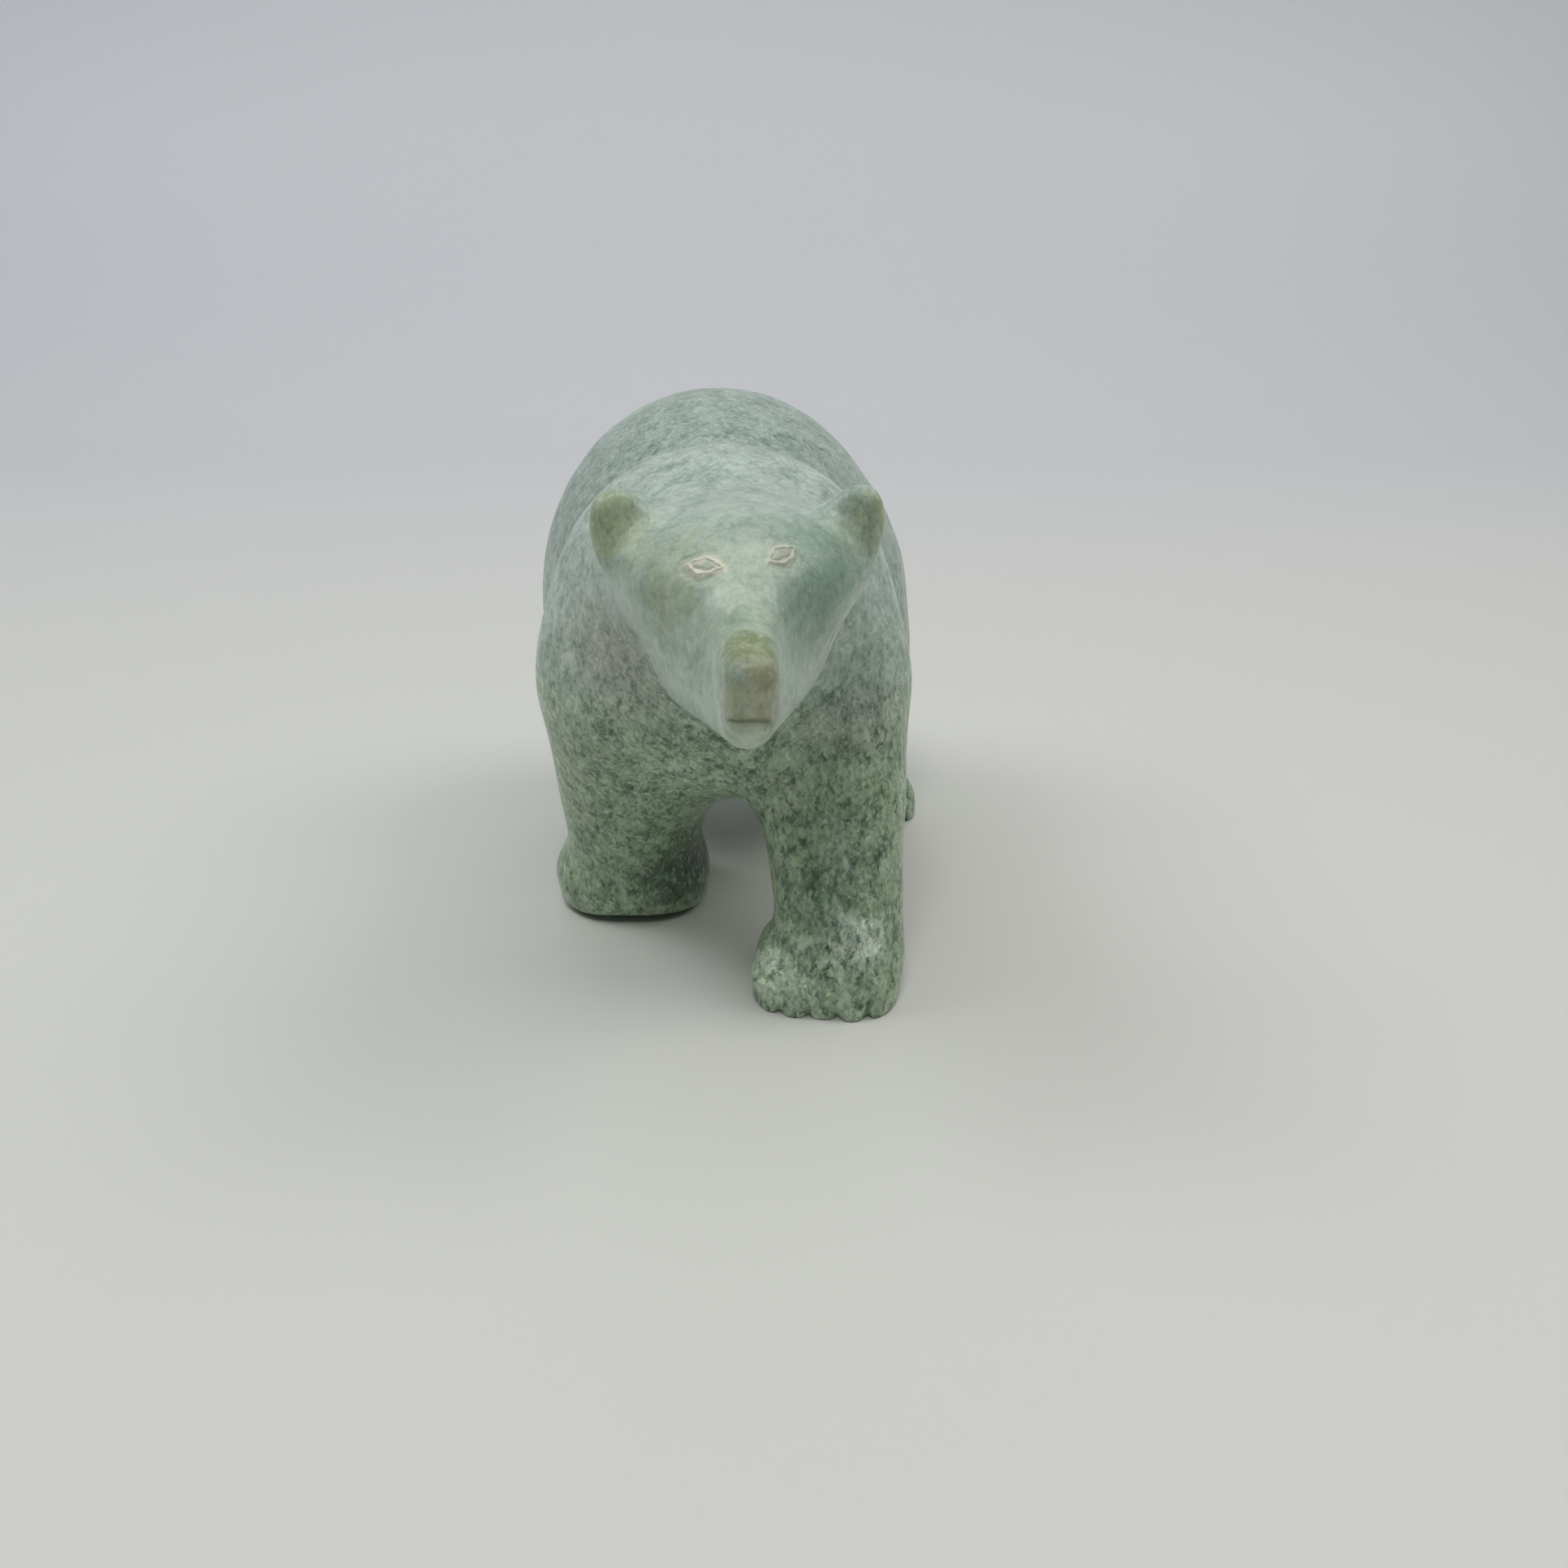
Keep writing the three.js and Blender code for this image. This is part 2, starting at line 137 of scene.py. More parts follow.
FACE_BLEND, MUZZLE_BLEND, DISH_EDGE, EAR_BLEND, NECK_BLEND = 3.72, 2.0, 0.9, 3.4, 3.1
skull = ellipsoid((0.37, -4.95, 2.17), (10.95, 10.53, 6.69))
jaw = taper((0, -7.43, -3.9), (-0.45, -23.22, -5.45), (6.63, 1.73), breadth=1.14)
bridge = taper((0, -7.43, 1.36), (-0.2, -23.9, -0.3), (4.95, 1.86))
muzzle = block((-0.2, -23.8, -2.0), (2.05, 3.0, 3.1), 1.35)
head = join(skull, jaw, FACE_BLEND)
head = join(head, bridge, FACE_BLEND)
head = join(head, muzzle, MUZZLE_BLEND)
ear_dish = ellipsoid((0, -5.15, 0.4), (7, 4, 8))
for ear in EARS:
    lobe = cut(ellipsoid((0, 0, 0), ear["radii"]), ear_dish, DISH_EDGE)
    head = join(head, placed(lobe, ear["at"], ear["yaw"], ear["roll"]), EAR_BLEND)
trunk = join(trunk, placed(head, HEAD_PIVOT, HEAD_YAW, HEAD_ROLL), NECK_BLEND)

# The tail and the four legs: short thick legs in mid stride, the left front one ahead, each
# on a broad flat paw. The right front paw is worn round underneath and its toe end stands
# clear of whatever the bear stands on.
TAIL_BLEND = 3.1
trunk = join(trunk, ellipsoid((-2.17, 47.6, 37.15), (2.6, 2.11, 3.72)), TAIL_BLEND)
PAW_EDGE, PAW_UNDER = 2.79, 3.72


def paw(at, half, top, corner, yaw, drop):
    turn = np.radians(yaw)

    def field(points):
        x, y, z = (points - (*at, 0)).T
        across = np.cos(turn) * x + np.sin(turn) * y
        along = np.cos(turn) * y - np.sin(turn) * x
        toe = -along / half[1]
        u = np.abs(across) - half[0] + corner
        v = np.abs(along) - half[1] + corner
        wall = np.hypot(np.maximum(u, 0), np.maximum(v, 0)) + np.minimum(np.maximum(u, v), 0)
        wall += PAW_EDGE - corner
        upper = top - drop * np.clip(toe, 0, 1)
        level = np.abs(z - (upper - PAW_UNDER) / 2) - (upper + PAW_UNDER) / 2 + PAW_EDGE
        round_edge = np.hypot(np.maximum(wall, 0), np.maximum(level, 0))
        return round_edge + np.minimum(np.maximum(wall, level), 0) - PAW_EDGE

    return field


PAWS = {
    "left_front": dict(at=(8.8, -18.46), half=(7.6, 7.68), top=5.7, corner=4.95, yaw=-11.45, drop=1.36),
    "right_front": dict(at=(-12.67, 5.2), half=(8.35, 7.93), top=5.7, corner=6.19, yaw=0, drop=0),
    "left_hind": dict(at=(15.73, 30.19), half=(7.55, 8.36), top=5.26, corner=6.19, yaw=8, drop=1.24),
    "right_hind": dict(at=(-14.24, 27.4), half=(7.43, 8.36), top=5.26, corner=6.19, yaw=-4, drop=1.24),
}
LEGS = {
    "left_front": dict(start=(8.92, -10.68, 29.72), end=(10.1, -18.36, 8.05), radii=(8.54, 6.5)),
    "right_front": dict(start=(-11.58, -6.97, 29.72), end=(-12.19, 1.77, 7.43), radii=(9.29, 7.36)),
    "left_hind": dict(start=(12.69, 28.95, 19.81), end=(14.55, 33.9, 6.81), radii=(7.74, 5.88)),
    "right_hind": dict(start=(-13.93, 27.71, 19.81), end=(-14.24, 32.04, 6.81), radii=(7.74, 5.88)),
}
THIGHS = {
    "left_hind": ((13.0, 27.71, 25.39), (7.62, 12.38, 14.86)),
    "right_hind": ((-13.11, 26.47, 25.39), (7.4, 12.38, 14.86)),
}
FRONT_BLEND, HIND_BLEND, THIGH_BLEND = 7.43, 6.81, 7.43
ANKLE_BLEND, WORN_ANKLE_BLEND = 4.33, 6.0
WORN_PAW = "right_front"
TOE_LIFT, HEEL_DEPTH, SOLE_EDGE = 1.15, 0.35, 0.9


def tilted_sole(points):
    at, half = PAWS[WORN_PAW]["at"], PAWS[WORN_PAW]["half"]
    return points[:, 2] - TOE_LIFT * (at[1] - points[:, 1]) / half[1] + HEEL_DEPTH


for name, sizes in LEGS.items():
    ankle_blend = WORN_ANKLE_BLEND if name == WORN_PAW else ANKLE_BLEND
    leg = join(taper(**sizes), paw(**PAWS[name]), ankle_blend)
    if name in THIGHS:
        leg = join(leg, ellipsoid(*THIGHS[name]), THIGH_BLEND)
    if name == WORN_PAW:
        leg = cut(leg, tilted_sole, SOLE_EDGE)
    trunk = join(trunk, leg, HIND_BLEND if name in THIGHS else FRONT_BLEND)

# The rasp and sandpaper leave the stone a little uneven: long shallow waves, deeper low on
# the legs where it was worked across the curve.
WAVE_COUNT, WAVE_LENGTHS, WAVE_DEPTH = 10, (5, 13), 0.013
WAVES_DEEPEN_BELOW = 26
rasp = np.random.default_rng(7)
WAVES = [
    (rasp.normal(size=3), rasp.uniform(0, 2 * np.pi), rasp.uniform(*WAVE_LENGTHS))
    for _ in range(WAVE_COUNT)
]


def sanded(points):
    lift = np.zeros(len(points))
    for direction, phase, length in WAVES:
        turns = points @ (direction / np.linalg.norm(direction)) / length
        lift += np.sin(2 * np.pi * turns + phase)
    deeper = 1 + 1.2 * np.clip((WAVES_DEEPEN_BELOW - points[:, 2]) / 14, 0, 1)
    return trunk(points) + WAVE_DEPTH * lift * deeper


# Eyes, nose and mouth: cut last, with the point of a knife. An almond line runs round each
# eyeball and throws up a thin lid on both sides of it.
SLOPE_STEP = 0.02


def slope_of(field, points):
    steps = np.array([(1, -1, -1), (-1, -1, 1), (-1, 1, -1), (1, 1, 1)]) * SLOPE_STEP
    total = np.zeros_like(points)
    for step in steps:
        total += step * field(points + step)[:, None]
    return total / (4 * SLOPE_STEP**2)


def settled(field, points, rounds=3):
    for _ in range(rounds):
        slope = slope_of(field, points)
        steepness = np.maximum((slope**2).sum(1), 0.1)
        points = points - (field(points) / steepness)[:, None] * slope
    return points


def seat(start, along):
    at = settled(sanded, np.array([start], float))
    out = slope_of(sanded, at)[0]
    out /= np.linalg.norm(out)
    right = np.array(along) - out * (out @ along)
    right /= np.linalg.norm(right)
    return at[0], right, np.cross(out, right), out


def ridge(distance, width):
    return np.exp(-((distance / width) ** 2))


EYE_LENGTH, EYE_OPENING = 3.1, 1.5
EYES = (
    seat((-3.09, -37.07, 50.17), (4.4, -2.1, 0.3)),
    seat((3.38, -35.98, 50.8), (3.9, 3.94, 1.1)),
)
EYE_REACH = 3.2
KNIFE_INSET, KNIFE_WIDTH, KNIFE_DEPTH = 0.24, 0.15, 0.07
LID_WIDTH, LID_RISE, BALL_RISE = 0.2, 0.13, 0.1
HOLLOW_OUT, HOLLOW_WIDTH, HOLLOW_DEPTH = 0.66, 0.45, 0.1


def eye_relief(points, eye):
    """The depth of an eye's carving, and how far a point lies on the lids and on the eyeball."""
    at, right, up, out = eye
    offset = points - at
    u, v = offset @ right, offset @ up
    along = np.clip(2 * u / EYE_LENGTH, -1.25, 1.25)
    inward = EYE_OPENING / 2 * (1 - np.abs(along) ** 1.7) - np.abs(v)
    edge = np.where(np.abs(along) < 1, inward, -np.hypot(np.abs(u) - EYE_LENGTH / 2, v))
    edge = edge + 0.05 * np.sin(5.1 * u + 3 * v) + 0.04 * np.sin(9.3 * v - 4 * u)
    cut_line = KNIFE_DEPTH * ridge(edge - KNIFE_INSET, KNIFE_WIDTH)
    lids = -LID_RISE * ridge(edge + 0.04, LID_WIDTH)
    ball = -BALL_RISE * np.clip(edge / 0.6, 0, 1) ** 0.8
    hollow = HOLLOW_DEPTH * ridge(edge + HOLLOW_OUT, HOLLOW_WIDTH)
    fade = np.clip((EYE_REACH - np.linalg.norm(offset, axis=1)) / 0.8, 0, 1)
    on_ball = np.clip(edge / 0.25, 0, 1) * fade
    return (cut_line + lids + ball + hollow) * fade, ridge(edge + 0.03, 0.42) * fade, on_ball


MOUTH = seat((0.3, -49.4, 40.9), (1, 0, 0))
MOUTH_HALF, MOUTH_WIDTH, MOUTH_DEPTH, MOUTH_DROOP = 1.9, 0.26, 0.24, 0.05
# Painted shade along the mouth slit: how wide the darkening spreads
MOUTH_SHADE_WIDTH = 0.34
LIP_LINE = seat((0.4, -49.9, 43.3), (1, 0, 0))
LIP_HALF, LIP_WIDTH, LIP_DEPTH, LIP_DROOP = 1.5, 0.14, 0.07, -0.04
NOSTRIL_RADIUS, NOSTRIL_DEPTH = 0.3, 0.12
# Painted shade in the nostril pits: how far the darkening spreads
NOSTRIL_SHADE_RADIUS = 0.55
NOSTRILS = (seat((-0.7, -49.7, 43.8), (1, 0, 0)), seat((1.55, -49.7, 43.8), (1, 0, 0)))
RING_PIT = seat((-10.9, -10.0, 14.9), (1, 0, 0))
RING_PIT_RADIUS, RING_PIT_DEPTH, RING_PIT_LIP = 0.42, 0.3, 0.14


def slit(points, seated, half, width, depth, droop):
    at, right, up, out = seated
    offset = points - at
    u, v, w = offset @ right, offset @ up, offset @ out
    v = v + droop * u**2
    along = np.clip((half - np.abs(u)) / 0.5, 0, 1)
    return depth * ridge(v, width) * along * (np.abs(w) < 2.5) * (np.abs(v) < 2)


def pit(points, seated, radius, depth, lip=0.0):
    away = np.linalg.norm(points - seated[0], axis=1)
    return depth * ridge(away, radius) - lip * ridge(away - 1.55 * radius, 0.45 * radius)


# Toes: five short ones on each paw, parted by notches filed up from the sole. The right front
# paw has none.
TOE_COUNT, TOE_SHARE, TOE_SHIFT = 5, 0.196, 0.55
NOTCH_WIDTH, NOTCH_DEPTH, NOTCH_TOP = 0.3, 0.8, 1.7
TOED = ("left_front", "left_hind", "right_hind")


def toe_relief(points, name):
    sizes = PAWS[name]
    turn = np.radians(sizes["yaw"])
    x, y, z = (points - (*sizes["at"], 0)).T
    across = np.cos(turn) * x + np.sin(turn) * y
    along = np.cos(turn) * y - np.sin(turn) * x
    half_width, half_length = sizes["half"]
    pitch = 2 * half_width * TOE_SHARE
    place = (across - TOE_SHIFT) / pitch + TOE_COUNT / 2
    nearest = np.clip(np.round(place), 1, TOE_COUNT - 1)
    gap = (place - nearest) * pitch
    front = np.clip((-along - half_length + sizes["corner"] + 1.2) / 1.5, 0, 1)
    front *= (along > -half_length - 2) & (np.abs(across) < half_width + 1)
    rise = np.clip(1 - z / NOTCH_TOP, 0, 1)
    notch = NOTCH_DEPTH * ridge(gap, NOTCH_WIDTH * (0.6 + rise)) * rise**1.3
    valley = 0.1 * ridge(gap, 0.45) * np.clip(1 - z / 4.5, 0, 1)
    bulge = 0.07 * np.cos(2 * np.pi * gap / pitch) * np.clip(1 - z / 4.5, 0, 1)
    return (notch + valley + bulge) * front


FACE_FRONT, PAW_HEIGHT, SOLE_ROUNDING = -30, 7, 0.3


def carved(points):
    relief = np.zeros(len(points))
    face = points[:, 1] < FACE_FRONT
    if face.any():
        near = points[face]
        depth = sum(eye_relief(near, eye)[0] for eye in EYES)
        depth = depth + slit(near, MOUTH, MOUTH_HALF, MOUTH_WIDTH, MOUTH_DEPTH, MOUTH_DROOP)
        depth = depth + slit(near, LIP_LINE, LIP_HALF, LIP_WIDTH, LIP_DEPTH, LIP_DROOP)
        depth = depth + sum(pit(near, at, NOSTRIL_RADIUS, NOSTRIL_DEPTH) for at in NOSTRILS)
        relief[face] += depth
    low = points[:, 2] < PAW_HEIGHT
    if low.any():
        relief[low] += sum(toe_relief(points[low], name) for name in TOED)
    relief += pit(points, RING_PIT, RING_PIT_RADIUS, RING_PIT_DEPTH, lip=RING_PIT_LIP)
    whole = sanded(points) + relief
    ground = -points[:, 2]
    overlap = np.maximum(SOLE_ROUNDING - np.abs(whole - ground), 0) / SOLE_ROUNDING
    return np.maximum(whole, ground) + overlap**2 * SOLE_ROUNDING / 4


# The finished skin: one closed mesh over the whole stone. It is drawn over cubes of one size,
# and split finer where the carving is fine.
CUBE = 0.93
REACH = ((-26, -52.5, -1.9), (26, 52.5, 57.5))


def field_values(field, points, batch=150_000):
    parts = [field(points[i : i + batch]) for i in range(0, len(points), batch)]
    return np.concatenate(parts)


def skin(field, reach, cube):
    start, end = np.array(reach)
    count = np.ceil((end - start) / cube).astype(int) + 1
    index = np.stack(np.meshgrid(*[np.arange(n) for n in count], indexing="ij"), -1)
    values = field_values(field, start + index.reshape(-1, 3) * cube).reshape(count)
    stride = np.array([count[1] * count[2], count[2], 1])
    sums = np.zeros((count.prod(), 3))
    uses = np.zeros(count.prod())
    rings = []
    for axis in range(3):
        second, third = (axis + 1) % 3, (axis + 2) % 3
        here = [slice(None)] * 3
        there = [slice(None)] * 3
        here[axis], there[axis] = slice(0, -1), slice(1, None)
        a, b = values[tuple(here)], values[tuple(there)]
        crossing = np.argwhere((a < 0) != (b < 0))
        first = a[tuple(crossing.T)]
        share = first / (first - b[tuple(crossing.T)])
        place = crossing.astype(float)
        place[:, axis] += share
        flat = crossing @ stride
        corners = ((1, 1), (0, 1), (0, 0), (1, 0))
        around = [flat - i * stride[second] - j * stride[third] for i, j in corners]
        for cell in around:
            np.add.at(sums, cell, place)
            np.add.at(uses, cell, 1)
        ring = np.stack(around, 1)
        ring[first >= 0] = ring[first >= 0][:, ::-1]
        rings.append(ring)
    rings = np.concatenate(rings)
    cells = np.flatnonzero(uses)
    order = np.full(len(uses), -1)
    order[cells] = np.arange(len(cells))
    points = start + sums[cells] / uses[cells, None] * cube
    return points, order[rings]


points, quads = skin(carved, REACH, CUBE)
for _ in range(2):
    total = np.zeros_like(points)
    count = np.zeros(len(points))
    for corner in range(4):
        for beside in (1, 3):
            np.add.at(total, quads[:, corner], points[quads[:, (corner + beside) % 4]])
            np.add.at(count, quads[:, corner], 1)
    points = settled(carved, total / count[:, None], rounds=2)

bear_mesh = bpy.data.meshes.new("bear_carved")
bear_mesh.from_pydata(points.tolist(), [], quads.tolist())
shape = bmesh.new()
shape.from_mesh(bear_mesh)


def within(points, at, radius):
    return np.linalg.norm(points - np.array(at), axis=1) < radius


def paw_front(points, name, top, back):
    sizes = PAWS[name]
    x, y, z = (points - (*sizes["at"], 0)).T
    return (z < top) & (np.abs(x) < sizes["half"][0] + 2) & (y < back) & (y > -sizes["half"][1] - 4)


NECK, THROAT, ANKLE, MUZZLE_FRONT = -21.5, 34, 6, -45
EAR_PLACES = ((-10.9, -27.0, 51.0), (10.4, -27.6, 50.4))


def head_and_paws(points):
    return (points[:, 1] < NECK) & (points[:, 2] > THROAT) | (points[:, 2] < ANKLE)


def fine_features(points):
    chosen = points[:, 1] < MUZZLE_FRONT
    for at, *_ in EYES:
        chosen |= within(points, at, 4.2)
    for at in EAR_PLACES:
        chosen |= within(points, at, 6.2)
    chosen |= within(points, RING_PIT[0], 1.6)
    for name in TOED:
        chosen |= paw_front(points, name, 4.5, -1.0)
    return chosen


def finest_features(points):
    chosen = within(points, MOUTH[0], 2.3) | within(points, LIP_LINE[0], 2.2)
    for at, *_ in EYES:
        chosen |= within(points, at, 2.6)
    chosen |= within(points, RING_PIT[0], 1.1)
    for name in TOED:
        chosen |= paw_front(points, name, 2.8, -3.0)
    return chosen


def knife_lines(points):
    return within(points, EYES[0][0], 2.1) | within(points, EYES[1][0], 2.1)


for wanted in (head_and_paws, fine_features, finest_features, knife_lines):
    shape.verts.ensure_lookup_table()
    shape.verts.index_update()
    places = np.array([vertex.co for vertex in shape.verts])
    chosen = wanted(places)
    edges = [e for e in shape.edges if chosen[e.verts[0].index] and chosen[e.verts[1].index]]
    bmesh.ops.subdivide_edges(
        shape, edges=edges, cuts=1, use_grid_fill=True, quad_corner_type="INNER_VERT"
    )
    shape.verts.ensure_lookup_table()
    shape.verts.index_update()
    places = np.array([vertex.co for vertex in shape.verts])
    new = np.arange(len(places)) >= len(chosen)
    new |= np.append(chosen, np.zeros(len(places) - len(chosen), bool))
    places[new] = settled(carved, places[new], rounds=2)
    for vertex, place in zip(shape.verts, places):
        vertex.co = place

bmesh.ops.triangulate(shape, faces=shape.faces, quad_method="SHORT_EDGE")
shape.verts.ensure_lookup_table()
places = np.array([vertex.co for vertex in shape.verts])
shape.to_mesh(bear_mesh)
shape.free()
normals = slope_of(carved, places)
normals /= np.linalg.norm(normals, axis=1)[:, None]
marks = np.zeros((len(places), 4))
for eye, bare, stained in zip(EYES, (1.0, 0.5), (0.25, 1.0)):
    _, lids, ball = eye_relief(places, eye)
    marks[:, 0] = np.maximum(marks[:, 0], lids * bare)
    marks[:, 1] = np.maximum(marks[:, 1], ball * stained)
# The third channel is painted shade: the mouth slit and the nostril pits darkened
marks[:, 2] = slit(places, MOUTH, MOUTH_HALF, MOUTH_SHADE_WIDTH, 1.0, MOUTH_DROOP)
for nostril, nostril_shade in zip(NOSTRILS, (0.35, 0.7)):
    marks[:, 2] = np.maximum(marks[:, 2], pit(places, nostril, NOSTRIL_SHADE_RADIUS, nostril_shade))
middle = (places.min(0) + places.max(0)) / 2
places = (places - (middle[0], middle[1], 0)) * HUNDREDTH
places += ((low.x + high.x) / 2, (low.y + high.y) / 2, 0)
places[:, 2] = np.maximum(places[:, 2], low.z)
bear_mesh.vertices.foreach_set("co", places.ravel())
bear_mesh.polygons.foreach_set("use_smooth", np.ones(len(bear_mesh.polygons), bool))
bear_mesh.normals_split_custom_set_from_vertices(normals.tolist())
attribute = bear_mesh.attributes.new("knife_marks_and_cut_shade", "FLOAT_COLOR", "POINT")
attribute.data.foreach_set("color", marks.ravel())
bear_mesh.update()
bear = bpy.data.objects.new("bear_carved", bear_mesh)
bpy.context.scene.collection.objects.link(bear)

# The stone: pale grey-green soapstone, clouded with dark green, with short white needles
# of talc all through it. It is sanded smooth and waxed, so it has a soft sheen.


class Value:
    """A socket of a shader; sums and products of values add Math nodes."""

    def __init__(self, tree, socket):
        self.tree, self.socket = tree, socket

    def math(self, operation, *others, clamp=False):
        node = self.tree.nodes.new("ShaderNodeMath")
        node.operation, node.use_clamp = operation, clamp
        for slot, value in zip(node.inputs, (self, *others)):
            connect(self.tree, value, slot)
        return Value(self.tree, node.outputs[0])

    def __add__(self, other):
        return self.math("ADD", other)

    def __sub__(self, other):
        return self.math("SUBTRACT", other)

    def __mul__(self, other):
        return self.math("MULTIPLY", other)

    def __rsub__(self, other):
        return (self * -1.0) + other

    __radd__ = __add__

    def clamped(self):
        return self.math("ADD", 0.0, clamp=True)


def connect(tree, value, slot):
    if isinstance(value, Value):
        tree.links.new(value.socket, slot)
    else:
        slot.default_value = value


class Shader:
    """One material's node tree; make() adds a node from its settings and its inputs."""

    def __init__(self, material):
        material.use_nodes = True
        self.tree = material.node_tree
        self.tree.nodes.clear()

    def make(self, kind, settings=None, numbered=(), output=0, **named):
        node = self.tree.nodes.new("ShaderNode" + kind)
        for name, value in (settings or {}).items():
            setattr(node, name, value)
        for place, value in numbered:
            connect(self.tree, value, node.inputs[place])
        for name, value in named.items():
            connect(self.tree, value, node.inputs[name.replace("_", " ")])
        return None if output is None else Value(self.tree, node.outputs[output])

    def scaled(self, colour, factor):
        return self.make("VectorMath", {"operation": "SCALE"}, [(0, colour), (3, factor)])

    def noise(self, place, scale, detail, roughness):
        return self.make(
            "TexNoise", Vector=place, Scale=scale, Detail=detail, Roughness=roughness
        )

    def step(self, value, start, end):
        """Rises smoothly from 0 at start to 1 at end."""
        node = self.tree.nodes.new("ShaderNodeMapRange")
        node.interpolation_type = "SMOOTHSTEP"
        for name, given in (("Value", value), ("From Min", start), ("From Max", end)):
            connect(self.tree, given, node.inputs[name])
        return Value(self.tree, node.outputs[0])

    def mix(self, share, first, second):
        node = self.tree.nodes.new("ShaderNodeMix")
        node.data_type = "RGBA"
        connect(self.tree, share, node.inputs[0])
        for given, slot in ((first, node.inputs[6]), (second, node.inputs[7])):
            connect(self.tree, given if isinstance(given, Value) else (*given, 1), slot)
        return Value(self.tree, node.outputs[2])

    def turned(self, place, turn, scale):
        return self.make("Mapping", Vector=place, Rotation=tuple(np.radians(turn)), Scale=scale)

    def cells(self, place, turn, scale):
        """Turned and stretched cells: the distance from a cell's middle, and its own number."""
        away = self.make("TexVoronoi", Vector=self.turned(place, turn, scale), Scale=1.0)
        colour = Value(self.tree, away.socket.node.outputs["Color"])
        return away, self.make("SeparateColor", Color=colour)

    def patch(self, place, at, radius, wobble):
        """A soft-edged patch about a place on the stone, in millimetres."""
        away = self.make("VectorMath", {"operation": "DISTANCE"}, [(0, place), (1, at)], output=1)
        return self.step(away + wobble, radius * 1.25, radius * 0.35)


# The legs' colour holds their own darker olive stone together with painted shade on the lower body
PALE_STONE, RUMP_STONE, LEG_STONE_AND_SHADE = (0.385, 0.475, 0.42), (0.285, 0.37, 0.32), (0.245, 0.33, 0.2)
DEEP_GREEN, TALC = (0.07, 0.15, 0.085), (0.66, 0.74, 0.65)
# Patches of colour in certain places, most of them the stone's own and a few painted shade or painted
# light, marked below: where, radius, colour, strength
PATCHES = (
    ((0.0, -64.0, 74.0), 24.0, (0.385, 0.48, 0.385), 0.75),
    ((-20.0, -31.4, 60.0), 10.0, (0.38, 0.36, 0.3), 0.55),
    ((19.0, -32.0, 49.0), 8.0, (0.29, 0.3, 0.26), 0.4),
    ((0.3, -62.0, 79.0), 6.0, (0.44, 0.54, 0.42), 0.6),
    ((0.5, -70.0, 76.0), 5.5, (0.4, 0.49, 0.34), 0.5),
    ((-19.0, -48.5, 83.5), 7.0, (0.34, 0.4, 0.22), 0.8),
    ((20.0, -48.5, 85.0), 7.0, (0.33, 0.38, 0.22), 0.8),
    ((-9.5, -58.0, 79.5), 7.0, (0.26, 0.32, 0.17), 0.55),
    ((9.0, -60.0, 74.5), 8.0, (0.19, 0.3, 0.24), 0.7),
    ((12.0, -53.5, 81.0), 8.5, (0.15, 0.27, 0.2), 0.7),
    ((0.9, -77.5, 75.0), 5.5, (0.16, 0.2, 0.06), 0.8),
    ((0.3, -81.0, 68.5), 6.0, (0.33, 0.34, 0.21), 0.8),
    # Painted light: the underside of the chin made paler, as light thrown back up onto it
    ((-0.2, -78.0, 61.5), 5.0, (0.44, 0.53, 0.41), 0.7),
    # Painted shade: a near-black patch on the inner side of the right front leg, low under the belly,
    # between the legs
    ((-7.0, -4.5, 13.0), 11.0, (0.01, 0.04, 0.02), 0.97),
    ((-14.0, -10.5, 10.0), 6.5, (0.07, 0.13, 0.07), 0.75),
    ((12.8, -38.2, 20.0), 7.0, (0.09, 0.165, 0.09), 0.75),
    ((17.0, -37.5, 28.0), 8.0, (0.15, 0.22, 0.15), 0.6),
    ((18.0, -40.0, 12.5), 6.5, (0.58, 0.66, 0.6), 0.6),
    ((5.0, -38.5, 7.0), 7.5, (0.5, 0.6, 0.44), 0.8),
    ((14.0, -44.0, 4.0), 9.0, (0.33, 0.42, 0.29), 0.6),
    ((-8.5, -26.0, 36.0), 8.0, (0.36, 0.46, 0.34), 0.55),
    # Painted shade: the chest darkened under the chin, just above the arch between the front legs
    ((-2.0, -30.0, 33.0), 6.0, (0.12, 0.21, 0.13), 0.5),
)
# Chips of the rock and flecks of talc: how each layer is turned, and cells to the millimetre
CHIPS = (((0, 15, 0), (1.0, 0.9, 0.6)), ((10, -20, 5), (2.1, 1.9, 1.2)))
FLECKS = (
    ((0, 5, 0), (1.1, 1.0, 0.45)),
    ((0, 62, 20), (0.8, 0.95, 0.4)),
    ((40, -50, -15), (1.6, 1.5, 0.8)),
)
stone = bpy.data.materials.new("soapstone")
shader = Shader(stone)
position = shader.make("TexCoord", output=3)
MILLIMETRES = (1000.0,) * 3
place = shader.make("Mapping", Vector=position, Scale=MILLIMETRES)

shares = place.tree.nodes.new("ShaderNodeSeparateXYZ")
place.tree.links.new(place.socket, shares.inputs[0])
side, forward, up = (Value(place.tree, socket) for socket in shares.outputs)

